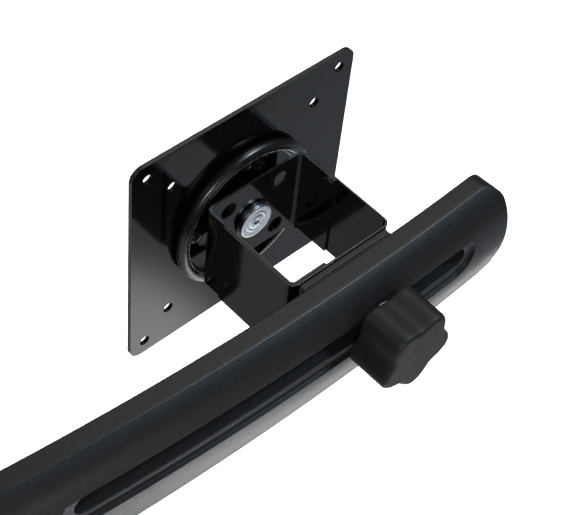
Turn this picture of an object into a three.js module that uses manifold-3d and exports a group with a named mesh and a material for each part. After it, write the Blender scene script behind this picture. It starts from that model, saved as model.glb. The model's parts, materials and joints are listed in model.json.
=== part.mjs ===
// Monitor arm: one slotted, curved wing on a pole hub, with a sliding VESA head.
// Millimetres, +Z up. The origin is on the pole's axis, at the underside of the support collar.
// The wing runs along +X, the monitor side is +Y and the clamp knob's side is -Y.

import * as THREE from 'three';
import { mergeVertices } from 'three/addons/utils/BufferGeometryUtils.js';
import Module from 'manifold-3d';

const wasm = await Module();
wasm.setup();

// ---------------------------------------------------------------- driving dimensions

const gap = 0.1;                 // between flat faces that rest on each other
const fitGap = 0.3;              // between a piece and the hole or socket that holds it

// Layout
const headX = 240;               // pole axis to the head's clamp bolt
const slotZ = 57;                // height of the slot's centre line
const arcRadius = 1400;          // plan radius of the wing's back plane
const wingBackY = -10;           // the back plane, opposite the head
const vesaDrop = 5;              // the VESA centre below the slot's centre line
const plateFaceY = 52;           // the plate's face on the arm's side

// Wing
const hubClearance = 2;          // between the hub's barrel and the wing's inner end
const wingTip = 77.5;            // arc length from the head's rest place
const wingTop = 18.3;            // heights from the slot's centre line
const wingBottom = -35;
const lowerTaper = 0.00055;      // share of the lower height lost for each mm towards the tip
const wingCrest = 19.8;          // greatest depth in front of the back plane
const crestZ = -7.6;
const brow = { depth: 7.7, slope: 32, handle: 9 };
const crestHandle = { up: 14, down: 9 };
const heel = { depth: 15.6, slope: 13.5, handle: 8.2, radius: 4 };
const wingWall = 3.4;
const tipRadius = 9;
const bendStep = 16;             // the longest straight stretch along the arc

// Slot and its sunk track
const slotToFoot = 25.5;         // from the slot's inner end to the solid foot
const slotRight = 50.6;
const slotClearance = 1.25;      // between the clamp bolt and the slot's sides
const trackLedge = 4.9;
const trackDepth = 18.1;         // the track's floor in front of the back plane
const bossWall = 3.2;
const ribThickness = 2.4;
const ribPitch = 32;

// Wing's foot, where it is screwed to the hub's lug
const footLength = 46;
const footScrewInset = 26;       // from the wing's inner end
const footScrewZ = [8, -22];
const footScrew = { radius: 3, headRadius: 5, headHeight: 5.6, socket: 2.5, length: 18 };

// Pole hub and collar
const poleRadius = 17.5;
const poleGap = 0.2;
const bush = { wall: 2, flange: 5, flangeThickness: 1.4, height: 15 };
const hubWall = 6.2;
const hubHeight = 62;
const lugThickness = 8;
const lugHalfHeight = 21;
const lugCorner = 8;
const lugDrop = 7;
const lugShort = 4;              // how far the lug stops short of the foot's end
const collarHeight = 14;
const collarWall = 8.5;
const collarSlit = 3;
const collarEar = { reach: 12, half: 9 };
const collarScrew = { radius: 2.5, headRadius: 4.25, headHeight: 5, socket: 2 };
const collarNut = { width: 8, height: 4 };
const thrustThickness = 1.5;

// VESA plate, swivel dish and pivot
const plateSide = 115.5;
const plateThickness = 2;
const plateCorner = 6;
const vesaHole = 2.5;
const vesaPitches = [100, 75];
const dishRadius = 36;
const beadRadius = 2.75;
const dishFloor = 1.1;
const dishBore = 8;
const rivetCircle = 25.5;
const rivet = { shank: 1.5, head: 2.7, dome: 1.3 };
const pivot = { shank: 4, head: 8.3, headThickness: 1.7, washer: 9.2, washerThickness: 0.8 };
const wallStandoff = 6.7;        // the plate's face to the bracket's back wall
const spacerRadius = 13;

// Box bracket of two bent straps
const boxHalfWidth = 24.7;       // inside
const boxDepth = 48.1;           // inside, from the back wall to the arm's wall
const boxHeight = 44;
const boxRise = 0.7;             // its middle above the VESA centre
const sheet = 1;
const bendRadius = 1.6;
const innerFlangeEnd = 20;       // the inner strap's right flange, from the back wall
const outerStartLeft = 10.5;     // the outer strap's left end, from the back wall
const outerStartRight = 1.4;
const hookClearance = 0.7;       // between the inner strap's end and the clamp bolt's head
const wallHole = 4;
const wallHolePitch = 28;

// Slide block and clamp
const blockHalfWidth = 23.2;
const blockHalfHeight = 17;
const padThickness = 1.2;
const keyHalfLength = 11;
const keyReach = 7;
const keyWindow = 1;             // the bolt's room between the key's two lugs, each way
const clampRadius = 4;
const neckExtra = 0.1;           // the square neck's half width beyond the bolt's radius
const neckLength = 3.2;
const boltHead = { overhang: 3.3, height: 3.4 };
const boltEnd = 36;              // in front of the back plane
const clampWasher = { reach: 5.4, thickness: 1.6 };             // reaches are beyond the bolt's radius
const insert = { flangeReach: 4.2, flangeThickness: 2, hexReach: 2.4, length: 14 };
const knob = {
  radius: 17, lobe: 1.9, lobes: 5, turn: 0.96, height: 21.1, edge: 2.2, neckReach: 8, neckHeight: 1,
};

// ---------------------------------------------------------------- derived places

const deg = Math.PI / 180;
const rivetAngles = [0, 90, 180, 270].map((angle) => angle * deg);
const vesaZ = slotZ - vesaDrop;
const arcCentreY = wingBackY + arcRadius;
const backWallRear = plateFaceY - wallStandoff;
const backWallFront = backWallRear - sheet;
const armWallInner = backWallFront - boxDepth;
const armWallOuter = armWallInner - 2 * sheet - gap;
const outerWallFace = armWallInner - sheet - gap;   // the outer strap's inner face on the arm's wall
const slotHalf = clampRadius + slotClearance;
const neckHalf = clampRadius + neckExtra;
const boltHeadRadius = clampRadius + boltHead.overhang;
const hookEnd = -boltHeadRadius - hookClearance;    // the inner strap's end on the arm's wall
const bushOuter = poleRadius + poleGap + bush.wall;
const hubBore = bushOuter + gap;
const hubOuter = hubBore + hubWall;
const wingInner = hubOuter + hubClearance - headX;  // arc lengths from the head's rest place
const footEnd = wingInner + footLength;
const footScrewU = wingInner + footScrewInset;
const lugEnd = footEnd - lugShort;
const slotLeft = footEnd + slotToFoot;
const thrustZ = collarHeight + gap;
const hubFoot = thrustZ + thrustThickness + gap + bush.flangeThickness + gap;
const collarInner = poleRadius + gap;
const collarOuter = collarInner + collarWall;
const padSag = blockHalfWidth ** 2 / (2 * arcRadius);   // how far the pad's ends bend towards the block
const collarScrewY = -collarOuter - collarEar.reach / 2;

// ---------------------------------------------------------------- solids and booleans

function solid(geometry) {
  const bare = geometry.index ? geometry.clone() : geometry;
  for (const name of Object.keys(bare.attributes)) {
    if (name !== 'position') bare.deleteAttribute(name);
  }
  const merged = mergeVertices(bare, 1e-4);
  return new wasm.Manifold(new wasm.Mesh({
    numProp: 3,
    vertProperties: new Float32Array(merged.attributes.position.array),
    triVerts: new Uint32Array(merged.index.array),
  }));
}

function geometryOf(body) {
  const mesh = body.getMesh();
  const geometry = new THREE.BufferGeometry();
  geometry.setAttribute('position', new THREE.BufferAttribute(mesh.vertProperties, 3));
  geometry.setIndex(new THREE.BufferAttribute(mesh.triVerts, 1));
  geometry.computeVertexNormals();
  return geometry;
}

const cut = (base, ...tools) => tools.reduce((rest, tool) => rest.subtract(tool), base);
const join = (base, ...more) => more.reduce((whole, piece) => whole.add(piece), base);

function box(x0, x1, y0, y1, z0, z1) {
  const geometry = new THREE.BoxGeometry(x1 - x0, y1 - y0, z1 - z0);
  return solid(geometry.translate((x0 + x1) / 2, (y0 + y1) / 2, (z0 + z1) / 2));
}

// A solid of revolution about the Z axis; the profile lists [radius, z] and runs anticlockwise.
function turned(profile, segments = 48) {
  const points = profile.map(([r, z]) => new THREE.Vector2(r, z));
  if (points[0].x > 0) points.push(points[0].clone());
  const geometry = new THREE.LatheGeometry(points, segments);
  return solid(geometry.rotateX(Math.PI / 2));
}

function rod(radius, z0, z1, segments = 32) {
  return turned([[0, z0], [radius, z0], [radius, z1], [0, z1]], segments);
}

function ring(r0, r1, z0, z1, segments = 56) {
  return turned([[r0, z0], [r1, z0], [r1, z1], [r0, z1]], segments);
}

// An outline in (x, z) made into a slab between two depths y.
function slabY(shape, y0, y1, curveSegments = 12) {
  const geometry = new THREE.ExtrudeGeometry(shape, { depth: y1 - y0, bevelEnabled: false, curveSegments });
  return geometry.rotateX(Math.PI / 2).translate(0, y1, 0);
}

// A piece turned from the Z axis to the Y axis, its +Z end towards -Y.
const alongMinusY = (body, x, y, z) => body.rotate([90, 0, 0]).translate([x, y, z]);

function roundedSquare(half, radius) {
  const shape = new THREE.Shape();
  const flat = half - radius;
  shape.moveTo(half, -flat);
  shape.absarc(flat, flat, radius, 0, 90 * deg);
  shape.absarc(-flat, flat, radius, 90 * deg, 180 * deg);
  shape.absarc(-flat, -flat, radius, 180 * deg, 270 * deg);
  shape.absarc(flat, -flat, radius, 270 * deg, 360 * deg);
  return shape;
}

function hole(shape, x, y, radius) {
  const path = new THREE.Path();
  path.absarc(x, y, radius, 0, 360 * deg, true);
  shape.holes.push(path);
}

// ---------------------------------------------------------------- the wing's own space
// Straight space: x is the arc length from the head, y = 0 the back plane, -y towards the knob,
// z from the slot's centre line. bend() lays it on the plan arc.

function bend(geometry) {
  const position = geometry.attributes.position;
  for (let i = 0; i < position.count; i += 1) {
    const angle = position.getX(i) / arcRadius;
    const radius = arcRadius - position.getY(i);
    position.setXYZ(
      i,
      headX + radius * Math.sin(angle),
      arcCentreY - radius * Math.cos(angle),
      position.getZ(i) + slotZ,
    );
  }
  return geometry;
}

// Moves a stiff body, built about the origin of straight space, to arc length u.
function onWing(body, u) {
  const angle = u / arcRadius;
  return body
    .translate([0, -arcRadius, slotZ])
    .rotate([0, 0, angle / deg])
    .translate([headX, arcCentreY, 0]);
}

function taper(geometry) {
  const position = geometry.attributes.position;
  for (let i = 0; i < position.count; i += 1) {
    const z = position.getZ(i);
    if (z < 0) position.setZ(i, z * (1 - lowerTaper * position.getX(i)));
  }
  return geometry;
}

// The wing's section in (y, z), moved inwards by inset.
function wingSection(inset) {
  const top = wingTop - inset;
  const bottom = wingBottom + inset;
  const back = inset > 0 ? 1 : 0;
  const crest = -(wingCrest - inset);
  const browY = -(brow.depth - inset / 2);
  const heelY = -(heel.depth - inset);
  const heelZ = bottom + heel.radius;
  const shape = new THREE.Shape();
  shape.moveTo(back, bottom);
  shape.lineTo(back, top);
  shape.lineTo(browY, top);
  shape.bezierCurveTo(
    browY - brow.handle * Math.cos(brow.slope * deg), top - brow.handle * Math.sin(brow.slope * deg),
    crest, crestZ + crestHandle.up, crest, crestZ,
  );
  shape.bezierCurveTo(
    crest, crestZ - crestHandle.down,
    heelY - heel.handle * Math.sin(heel.slope * deg), heelZ + heel.handle * Math.cos(heel.slope * deg),
    heelY, heelZ,
  );
  shape.quadraticCurveTo(heelY + 0.2 * heel.radius, bottom, heelY + heel.radius, bottom);
  return shape;
}

function wingSweep(inset, u0, u1) {
  const steps = Math.ceil((u1 - u0) / bendStep);
  const geometry = new THREE.ExtrudeGeometry(wingSection(inset), {
    depth: u1 - u0, steps, bevelEnabled: false, curveSegments: 8,
  });
  const axes = new THREE.Matrix4().makeBasis(
    new THREE.Vector3(0, 1, 0), new THREE.Vector3(0, 0, 1), new THREE.Vector3(1, 0, 0),
  );
  return solid(bend(taper(geometry.applyMatrix4(axes).translate(u0, 0, 0))));
}

// A slab that follows the arc.
function bentSlab(u0, u1, y0, y1, z0, z1) {
  const steps = Math.ceil((u1 - u0) / bendStep);
  const geometry = new THREE.BoxGeometry(u1 - u0, y1 - y0, z1 - z0, steps);
  return solid(bend(geometry.translate((u0 + u1) / 2, (y0 + y1) / 2, (z0 + z1) / 2)));
}

// The slot, or its boss or sunk track, which are the slot grown all round.
function slotPrism(grow, y0, y1) {
  const half = slotHalf + grow;
  const start = slotLeft + slotHalf;
  const end = slotRight - slotHalf;
  const rounds = [start, end].map((u) => onWing(alongMinusY(rod(half, -y1, -y0), 0, 0, 0), u));
  return join(bentSlab(start, end, y0, y1, -half, half), ...rounds);
}

// What is cut away to round a corner of a slab that ends at u; side is 1 above and -1 below.
function cornerWaste(u, z, side, radius, y0, y1) {
  const low = side > 0 ? z - radius : z - 1;
  const waste = box(-radius, 2, y0, y1, low, low + radius + 1);
  return onWing(cut(waste, alongMinusY(rod(radius, -y1 - 1, -y0 + 1), -radius, 0, z - side * radius)), u);
}

// ---------------------------------------------------------------- wing

function ribPlaces() {
  const places = [];
  for (let u = slotRight - 8.6; u > footEnd + ribPitch / 4; u -= ribPitch) places.push(u);
  return places;
}

function makeWing() {
  const pocketRoof = wingSweep(wingWall, footEnd, wingTip - wingWall);
  const boss = slotPrism(bossWall, -wingCrest, 2);
  const ribs = ribPlaces().map((u) => onWing(
    box(-ribThickness / 2, ribThickness / 2, -wingCrest, -2, wingBottom * 1.2, wingTop), u,
  ));
  const pocket = cut(pocketRoof, boss, ...ribs);
  const corner = (z, side) => cornerWaste(wingTip, z, side, tipRadius, -wingCrest - 2, 2);
  const tipBottom = wingBottom * (1 - lowerTaper * wingTip);
  const screwHoles = footScrewZ.map((z) => onWing(
    alongMinusY(rod(footScrew.radius + fitGap, -1, footScrew.length - lugThickness + 1), 0, 0, z), footScrewU,
  ));
  return cut(
    wingSweep(0, wingInner, wingTip),
    pocket,
    slotPrism(0, -wingCrest - 2, 2),
    slotPrism(trackLedge, -wingCrest - 2, -trackDepth),
    corner(wingTop, 1),
    corner(tipBottom, -1),
    ...screwHoles,
  );
}

function capScrew({ radius, headRadius, headHeight, socket }, length) {
  const head = turned([
    [0, 0], [headRadius, 0], [headRadius, headHeight - 0.6], [headRadius - 0.6, headHeight], [0, headHeight],
  ]);
  const drive = rod(socket, headHeight * 0.4, headHeight + 1, 6);
  return join(cut(head, drive), rod(radius, -length, 0.2));
}

// ---------------------------------------------------------------- hub, bushes, collar

function makeHub() {
  const barrel = rod(hubOuter, hubFoot, hubFoot + hubHeight, 64);
  const top = lugHalfHeight - lugDrop;
  const bottom = -lugHalfHeight - lugDrop;
  const back = lugThickness + gap;
  const lug = cut(
    bentSlab(-headX, lugEnd, gap, back, bottom, top),
    cornerWaste(lugEnd, top, 1, lugCorner, -1, back + 1),
    cornerWaste(lugEnd, bottom, -1, lugCorner, -1, back + 1),
  );
  const screwHoles = footScrewZ.map((z) => onWing(
    alongMinusY(rod(footScrew.radius + fitGap, -lugThickness - 2, 3), 0, 0, z), footScrewU,
  ));
  const bore = rod(hubBore, hubFoot - 2, hubFoot + hubHeight + 2, 56);
  return cut(join(barrel, lug), bore, ...screwHoles);
}

// A flanged bush about the Z axis, its flange below z = 0 and its sleeve above.
function makeBush() {
  const bore = poleRadius + poleGap;
  return turned([
    [bore, -bush.flangeThickness], [bushOuter + bush.flange, -bush.flangeThickness],
    [bushOuter + bush.flange, 0], [bushOuter, 0], [bushOuter, bush.height], [bore, bush.height],
  ], 56);
}

function makeCollar() {
  const earEnd = -collarOuter - collarEar.reach;
  const ears = box(-collarEar.half, collarEar.half, earEnd, -collarInner - 2, 0, collarHeight);
  const slit = box(-collarSlit / 2, collarSlit / 2, earEnd - 1, 0, -1, collarHeight + 1);
  const screwHole = rod(collarScrew.radius + fitGap, -20, 20).rotate([0, 90, 0])
    .translate([0, collarScrewY, collarHeight / 2]);
  return cut(
    join(rod(collarOuter, 0, collarHeight, 64), ears),
    rod(collarInner, -1, collarHeight + 1, 56),
    slit,
    screwHole,
  );
}

function makeCollarNut() {
  const half = collarNut.width / 2;
  const middle = collarHeight / 2;
  const face = -collarEar.half - gap;
  const body = box(
    face - collarNut.height, face, collarScrewY - half, collarScrewY + half, middle - half, middle + half,
  );
  const bore = rod(collarScrew.radius + gap, -30, 0).rotate([0, 90, 0]);
  return cut(body, bore.translate([0, collarScrewY, middle]));
}

// ---------------------------------------------------------------- plate, dish, pivot

function makePlate() {
  const shape = roundedSquare(plateSide / 2, plateCorner);
  for (const pitch of vesaPitches) {
    for (const sx of [-1, 1]) {
      for (const sz of [-1, 1]) hole(shape, sx * pitch / 2, sz * pitch / 2, vesaHole);
    }
  }
  for (const angle of rivetAngles) {
    hole(shape, rivetCircle * Math.cos(angle), rivetCircle * Math.sin(angle), rivet.shank + fitGap);
  }
  hole(shape, 0, 0, pivot.shank + fitGap);
  return solid(slabY(shape, 0, plateThickness, 6).translate(headX, plateFaceY, vesaZ));
}

// The pieces on the pivot's axis are turned about Z, with z = 0 on the plate's arm-side face,
// and then laid along -Y.
const onPivot = (body) => alongMinusY(body, headX, plateFaceY, vesaZ);

function makeDish() {
  const centre = dishRadius - beadRadius;
  const beadZ = gap + beadRadius;
  const floorAngle = Math.asin((beadRadius - dishFloor) / beadRadius);
  const turns = 11;
  const from = -90 * deg;
  const to = Math.PI + floorAngle;
  const profile = [[dishBore, gap]];
  for (let i = 0; i <= turns; i += 1) {
    const a = from + (to - from) * i / turns;
    profile.push([centre + beadRadius * Math.cos(a), beadZ + beadRadius * Math.sin(a)]);
  }
  profile.push([dishBore, gap + dishFloor]);
  const rivetHoles = rivetAngles.map((angle) => rod(rivet.shank + fitGap, -1, 4, 16)
    .translate([rivetCircle * Math.cos(angle), rivetCircle * Math.sin(angle), 0]));
  return onPivot(cut(turned(profile, 52), ...rivetHoles));
}

function makeRivet(angle) {
  const seat = gap + dishFloor + gap;
  const dome = turned([
    [0, 1 - plateThickness - 0.8], [rivet.shank, 1 - plateThickness - 0.8], [rivet.shank, seat],
    [rivet.head, seat], [rivet.head * 0.9, seat + rivet.dome * 0.5],
    [rivet.head * 0.6, seat + rivet.dome * 0.87], [0, seat + rivet.dome],
  ], 20);
  return onPivot(dome.translate([rivetCircle * Math.cos(angle), rivetCircle * Math.sin(angle), 0]));
}

const wallFrontZ = plateFaceY - backWallFront;      // the back wall's front face on the pivot's axis
const wallRearZ = plateFaceY - backWallRear;

function makeStud() {
  const seat = wallFrontZ + gap + pivot.washerThickness + gap;
  const top = seat + pivot.headThickness;
  return onPivot(turned([
    [0, -plateThickness], [pivot.shank, -plateThickness], [pivot.shank, seat],
    [pivot.head, seat], [pivot.head, top - 0.5], [pivot.head - 0.5, top],
    [2.6, top], [2.2, top - 0.5], [0, top - 0.5],
  ]));
}

function makePivotWasher() {
  const seat = wallFrontZ + gap;
  return onPivot(ring(pivot.shank + fitGap, pivot.washer, seat, seat + pivot.washerThickness));
}

// The nylon spacer fills the dish behind the back wall, and its neck lines the wall's hole.
function makeSpacer() {
  const low = gap + dishFloor + gap;
  const bore = pivot.shank + gap;
  const neck = bore + 1.6;
  return onPivot(turned([
    [bore, low], [spacerRadius, low], [spacerRadius, wallRearZ - gap], [neck, wallRearZ - gap],
    [neck, wallFrontZ - gap], [bore, wallFrontZ - gap],
  ]));
}

// ---------------------------------------------------------------- box bracket

// A strap of sheet bent along a path of [x, y] corners, seen from above, with the path on its
// left-hand face as it is walked; it stands boxHeight tall about the VESA centre.
function strap(path, thickness, innerBend) {
  const points = path.map(([x, y]) => new THREE.Vector2(x, y));
  const side = (offset, radius) => {
    const line = [points[0]];
    for (let i = 1; i < points.length - 1; i += 1) {
      const before = points[i].clone().sub(points[i - 1]).normalize();
      const after = points[i + 1].clone().sub(points[i]).normalize();
      const centre = points[i].clone().addScaledVector(before, -innerBend).addScaledVector(after, innerBend);
      for (let k = 0; k <= 6; k += 1) {
        const a = k * 15 * deg;
        line.push(centre.clone()
          .addScaledVector(after, -radius * Math.cos(a))
          .addScaledVector(before, radius * Math.sin(a)));
      }
    }
    line.push(points[points.length - 1]);
    const shift = (p, q, end) => {
      const along = q.clone().sub(p).normalize();
      return end.clone().add(new THREE.Vector2(along.y, -along.x).multiplyScalar(offset));
    };
    line[0] = shift(points[0], points[1], line[0]);
    const [before, end] = points.slice(-2);
    line[line.length - 1] = shift(before, end, end);
    return line;
  };
  const inside = side(0, innerBend);
  const outside = side(thickness, innerBend + thickness).reverse();
  const shape = new THREE.Shape([...inside, ...outside]);
  const geometry = new THREE.ExtrudeGeometry(shape, { depth: boxHeight, bevelEnabled: false });
  return solid(geometry.translate(headX, 0, vesaZ + boxRise - boxHeight / 2));
}

// Walked anticlockwise seen from above, so that the sheet lies outside the path.
function makeInnerStrap() {
  const half = boxHalfWidth;
  const body = strap([
    [half, backWallFront - innerFlangeEnd], [half, backWallFront], [-half, backWallFront],
    [-half, armWallInner], [hookEnd, armWallInner],
  ], sheet, bendRadius);
  const holes = [];
  for (const sx of [-1, 1]) {
    for (const sz of [-1, 1]) {
      holes.push(onPivot(rod(wallHole, 2, 20, 28)
        .translate([sx * wallHolePitch / 2, sz * wallHolePitch / 2, 0])));
    }
  }
  const pivotHole = onPivot(rod(pivot.shank + gap + 1.6 + gap, 2, 20));
  return cut(body, pivotHole, ...holes);
}

function makeOuterStrap() {
  const half = boxHalfWidth + sheet + gap;
  const body = strap([
    [-half, backWallFront - outerStartLeft], [-half, outerWallFace],
    [half, outerWallFace], [half, backWallFront - outerStartRight],
  ], sheet, bendRadius + sheet);
  const neck = neckHalf + fitGap;
  const squareHole = box(
    headX - neck, headX + neck, outerWallFace - sheet - 2, outerWallFace + 2, slotZ - neck, slotZ + neck,
  );
  return cut(body, squareHole);
}

// ---------------------------------------------------------------- slide block, pad, clamp

function makeBlock() {
  const front = wingBackY + padThickness + 2 * gap + padSag;
  const plate = box(
    headX - blockHalfWidth, headX + blockHalfWidth, front, armWallOuter - gap,
    slotZ - blockHalfHeight, slotZ + blockHalfHeight,
  );
  const keyRound = slotHalf - fitGap;
  const keyBase = front - wingBackY + 0.5;
  const keyEnd = keyHalfLength - keyRound;
  const key = onWing(join(
    box(-keyEnd, keyEnd, -keyReach, keyBase, -keyRound, keyRound),
    alongMinusY(rod(keyRound, -keyBase, keyReach), -keyEnd, 0, 0),
    alongMinusY(rod(keyRound, -keyBase, keyReach), keyEnd, 0, 0),
  ), 0);
  const neck = neckHalf + fitGap;
  const room = clampRadius + keyWindow;
  const keyway = box(headX - room, headX + room, -60, front, slotZ - 20, slotZ + 20);
  const bore = box(headX - neck, headX + neck, -60, 60, slotZ - neck, slotZ + neck);
  return cut(join(plate, cut(key, keyway)), bore);
}

// The pad follows the wing's curved back, with a window for the block's key.
function makePad() {
  const across = keyHalfLength + fitGap;
  const window = onWing(box(-across, across, -5, 5, -slotHalf, slotHalf), 0);
  return cut(
    bentSlab(-blockHalfWidth, blockHalfWidth, gap, gap + padThickness, -blockHalfHeight, blockHalfHeight),
    window,
  );
}

// The pieces on the clamp bolt's axis are turned about Z, with z = 0 on the wing's back plane.
const onClamp = (body) => alongMinusY(body, headX, wingBackY, slotZ);
const trackFloorZ = trackDepth;
const washerZ = trackFloorZ + gap;
const insertZ = washerZ + clampWasher.thickness + gap;
const flangeRadius = clampRadius + insert.flangeReach;
const hexRadius = clampRadius + insert.hexReach;

function makeClampBolt() {
  const seat = wingBackY - outerWallFace - gap;
  const dome = turned([
    [0, seat - boltHead.height], [boltHeadRadius * 0.45, seat - boltHead.height * 0.93],
    [boltHeadRadius * 0.8, seat - boltHead.height * 0.62], [boltHeadRadius, seat - boltHead.height * 0.2],
    [boltHeadRadius, seat], [0, seat],
  ], 36);
  const neck = box(-neckHalf, neckHalf, -neckHalf, neckHalf, seat - 0.5, seat + neckLength);
  const shank = clampRadius - 0.05;
  const tip = turned([
    [0, seat], [shank, seat], [shank, boltEnd - 1], [shank - 1, boltEnd], [0, boltEnd],
  ]);
  return onClamp(join(dome, neck, tip));
}

function makeClampWasher() {
  const outer = clampRadius + clampWasher.reach;
  return onClamp(ring(clampRadius + fitGap, outer, washerZ, washerZ + clampWasher.thickness, 40));
}

function makeInsert() {
  const flange = rod(flangeRadius, insertZ, insertZ + insert.flangeThickness, 36);
  const hex = rod(hexRadius, insertZ + 0.5, insertZ + insert.length, 6);
  return onClamp(cut(join(flange, hex), rod(clampRadius + gap, insertZ - 2, insertZ + insert.length + 2)));
}

function makeKnob() {
  const outline = (scale) => {
    const shape = new THREE.Shape();
    const steps = 60;
    for (let i = 0; i < steps; i += 1) {
      const a = 360 * deg * i / steps;
      const r = scale + knob.lobe * Math.cos(knob.lobes * (a - knob.turn));
      const [x, y] = [r * Math.cos(a), r * Math.sin(a)];
      if (i === 0) shape.moveTo(x, y);
      else shape.lineTo(x, y);
    }
    return shape;
  };
  const low = insertZ + gap;
  const grip = new THREE.ExtrudeGeometry(outline(knob.radius - knob.edge), {
    depth: knob.height - knob.neckHeight - 2 * knob.edge, bevelEnabled: true, bevelSize: knob.edge,
    bevelThickness: knob.edge, bevelSegments: 2,
  }).translate(0, 0, low + knob.neckHeight + knob.edge);
  const neck = rod(clampRadius + knob.neckReach, low, low + knob.neckHeight + 1);
  const flangeRoom = rod(flangeRadius + fitGap, low - 1, insertZ + insert.flangeThickness + gap, 36);
  const hexRoom = rod(hexRadius + fitGap, low - 1, insertZ + insert.length + fitGap, 6);
  const boltRoom = rod(clampRadius + fitGap, low, boltEnd + 1.5);
  return onClamp(cut(join(solid(grip), neck), flangeRoom, hexRoom, boltRoom));
}

// ---------------------------------------------------------------- assembly

const satinBlack = { color: 0x202122, roughness: 0.5, metalness: 0.25 };
const glossBlack = { color: 0x0b0b0c, roughness: 0.12, metalness: 0.3 };
const zinc = { color: 0xc9ced2, roughness: 0.3, metalness: 0.9 };
const darkSteel = { color: 0x3a3c3f, roughness: 0.35, metalness: 0.85 };
const nylon = { color: 0x1b1b1c, roughness: 0.6, metalness: 0 };
const whiteNylon = { color: 0xe6e4de, roughness: 0.55, metalness: 0 };
const rubber = { color: 0x2a2b2b, roughness: 0.75, metalness: 0 };
const brass = { color: 0xb08d4a, roughness: 0.35, metalness: 0.9 };

const arm = new THREE.Group();

function add(name, body, look) {
  const mesh = new THREE.Mesh(geometryOf(body), new THREE.MeshStandardMaterial(look));
  mesh.name = name;
  arm.add(mesh);
}

add('support_collar', makeCollar(), satinBlack);
add(
  'collar_screw',
  capScrew(collarScrew, 2 * collarEar.half + 6).rotate([0, 90, 0])
    .translate([collarEar.half + gap, collarScrewY, collarHeight / 2]),
  darkSteel,
);
add('collar_nut', makeCollarNut(), zinc);
add(
  'thrust_washer',
  ring(poleRadius + poleGap, hubOuter - 1, thrustZ, thrustZ + thrustThickness),
  whiteNylon,
);

add('pole_hub', makeHub(), satinBlack);
add('lower_pole_bush', makeBush().translate([0, 0, hubFoot - gap]), nylon);
add(
  'upper_pole_bush',
  makeBush().rotate([180, 0, 0]).translate([0, 0, hubFoot + hubHeight + gap]),
  nylon,
);
add('wing_bar', makeWing(), satinBlack);
footScrewZ.forEach((z, i) => {
  const screw = capScrew(footScrew, footScrew.length).rotate([180, 0, 0]);
  const placed = onWing(alongMinusY(screw, 0, lugThickness + 2 * gap, z), footScrewU);
  add(`foot_screw_${i + 1}`, placed, darkSteel);
});

add('slide_block', makeBlock(), satinBlack);
add('slide_pad', makePad(), nylon);
add('bracket_inner_strap', makeInnerStrap(), glossBlack);
add('bracket_outer_strap', makeOuterStrap(), glossBlack);
add('clamp_bolt', makeClampBolt(), zinc);
add('clamp_washer', makeClampWasher(), zinc);
add('knob_insert', makeInsert(), brass);
add('star_knob', makeKnob(), rubber);

add('vesa_plate', makePlate(), glossBlack);
add('swivel_dish', makeDish(), glossBlack);
rivetAngles.forEach((angle, i) => add(`dish_rivet_${i + 1}`, makeRivet(angle), darkSteel));
add('pivot_spacer', makeSpacer(), nylon);
add('pivot_washer', makePivotWasher(), darkSteel);
add('pivot_stud', makeStud(), zinc);

export default arm;
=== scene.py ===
"""The looks of a monitor arm: a curved slotted wing on a pole hub, with a sliding VESA head.

Sizes are in millimetres unless a name says otherwise, and mm() turns them into metres.
"""

import json
import math

import bmesh
import bpy
from mathutils import Matrix, Vector


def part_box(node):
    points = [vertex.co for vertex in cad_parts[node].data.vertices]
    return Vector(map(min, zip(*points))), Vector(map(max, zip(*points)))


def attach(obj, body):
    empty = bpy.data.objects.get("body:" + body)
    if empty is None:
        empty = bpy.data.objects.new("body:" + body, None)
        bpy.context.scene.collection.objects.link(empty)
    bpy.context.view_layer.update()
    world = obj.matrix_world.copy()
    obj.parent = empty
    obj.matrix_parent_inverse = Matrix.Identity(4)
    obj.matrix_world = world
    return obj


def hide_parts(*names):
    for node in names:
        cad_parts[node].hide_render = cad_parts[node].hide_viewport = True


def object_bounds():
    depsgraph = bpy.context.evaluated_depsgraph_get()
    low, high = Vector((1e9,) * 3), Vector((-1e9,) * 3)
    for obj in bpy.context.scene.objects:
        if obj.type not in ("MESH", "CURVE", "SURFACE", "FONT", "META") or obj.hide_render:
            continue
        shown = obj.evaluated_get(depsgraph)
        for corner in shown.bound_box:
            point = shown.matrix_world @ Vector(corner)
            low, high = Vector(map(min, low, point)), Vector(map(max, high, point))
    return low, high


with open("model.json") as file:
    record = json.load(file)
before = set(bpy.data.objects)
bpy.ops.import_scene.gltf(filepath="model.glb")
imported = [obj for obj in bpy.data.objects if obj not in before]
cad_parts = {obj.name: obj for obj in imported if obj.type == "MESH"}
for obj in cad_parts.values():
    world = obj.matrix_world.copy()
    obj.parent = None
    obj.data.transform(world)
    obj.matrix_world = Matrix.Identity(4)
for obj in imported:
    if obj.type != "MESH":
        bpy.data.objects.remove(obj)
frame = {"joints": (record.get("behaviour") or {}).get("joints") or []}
cad_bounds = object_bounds()

# ---------------------------------------------------------------- places taken from the frame

MM = 0.001
JOINTS = {joint["name"]: joint for joint in frame["joints"]}
ARC_CENTRE = Vector(JOINTS["head_slide"]["pos_m"]) / MM
HEAD_X = ARC_CENTRE.x
SLOT_Z = ARC_CENTRE.z
PLATE_FACE = Vector(JOINTS["plate_rotate"]["pos_m"]) / MM


def box_mm(node):
    low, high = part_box(node)
    return Vector(low) / MM, Vector(high) / MM


# ---------------------------------------------------------------- sizes of the detailed pieces

ARC_RADIUS = 1400.0              # plan radius of the wing's back plane
BACK_Y = ARC_CENTRE.y - ARC_RADIUS

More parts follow.
